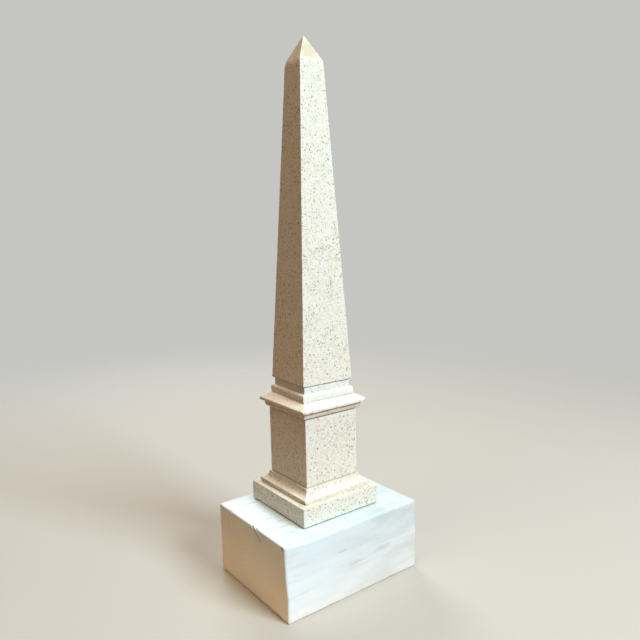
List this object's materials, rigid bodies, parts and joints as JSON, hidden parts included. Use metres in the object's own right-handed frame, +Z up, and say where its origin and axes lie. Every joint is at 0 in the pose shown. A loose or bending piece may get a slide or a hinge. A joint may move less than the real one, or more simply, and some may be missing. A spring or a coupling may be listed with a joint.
{
  "type": "table obelisk on a wood block",
  "caption": "Ornamental table obelisk of speckled stone, with plinth, coved base moulding, die, cornice, neck and tapering shaft, standing on a white-painted wood block.",
  "frame": {"origin": "centre of the wood block's underside, where it rests on a table", "axes": "+Z up; +X along the wood block's grain; +Y towards the back, the side that the obelisk is set towards"},
  "size_m": [0.182, 0.14, 0.6],
  "materials": {
    "speckled_stone": "matte",
    "cement": "matte",
    "painted_wood": "matte",
    "dark_rubber": "matte"
  },
  "bodies": {
    "root": {"wood_block": "painted_wood", "plinth_pad": "dark_rubber", "plinth": "speckled_stone", "base_joint": "cement", "base_moulding": "speckled_stone", "die_joint": "cement", "die": "speckled_stone", "cornice_joint": "cement", "cornice": "speckled_stone", "neck_joint": "cement", "neck": "speckled_stone", "shaft_joint": "cement", "shaft": "speckled_stone"}
  },
  "joints": []
}
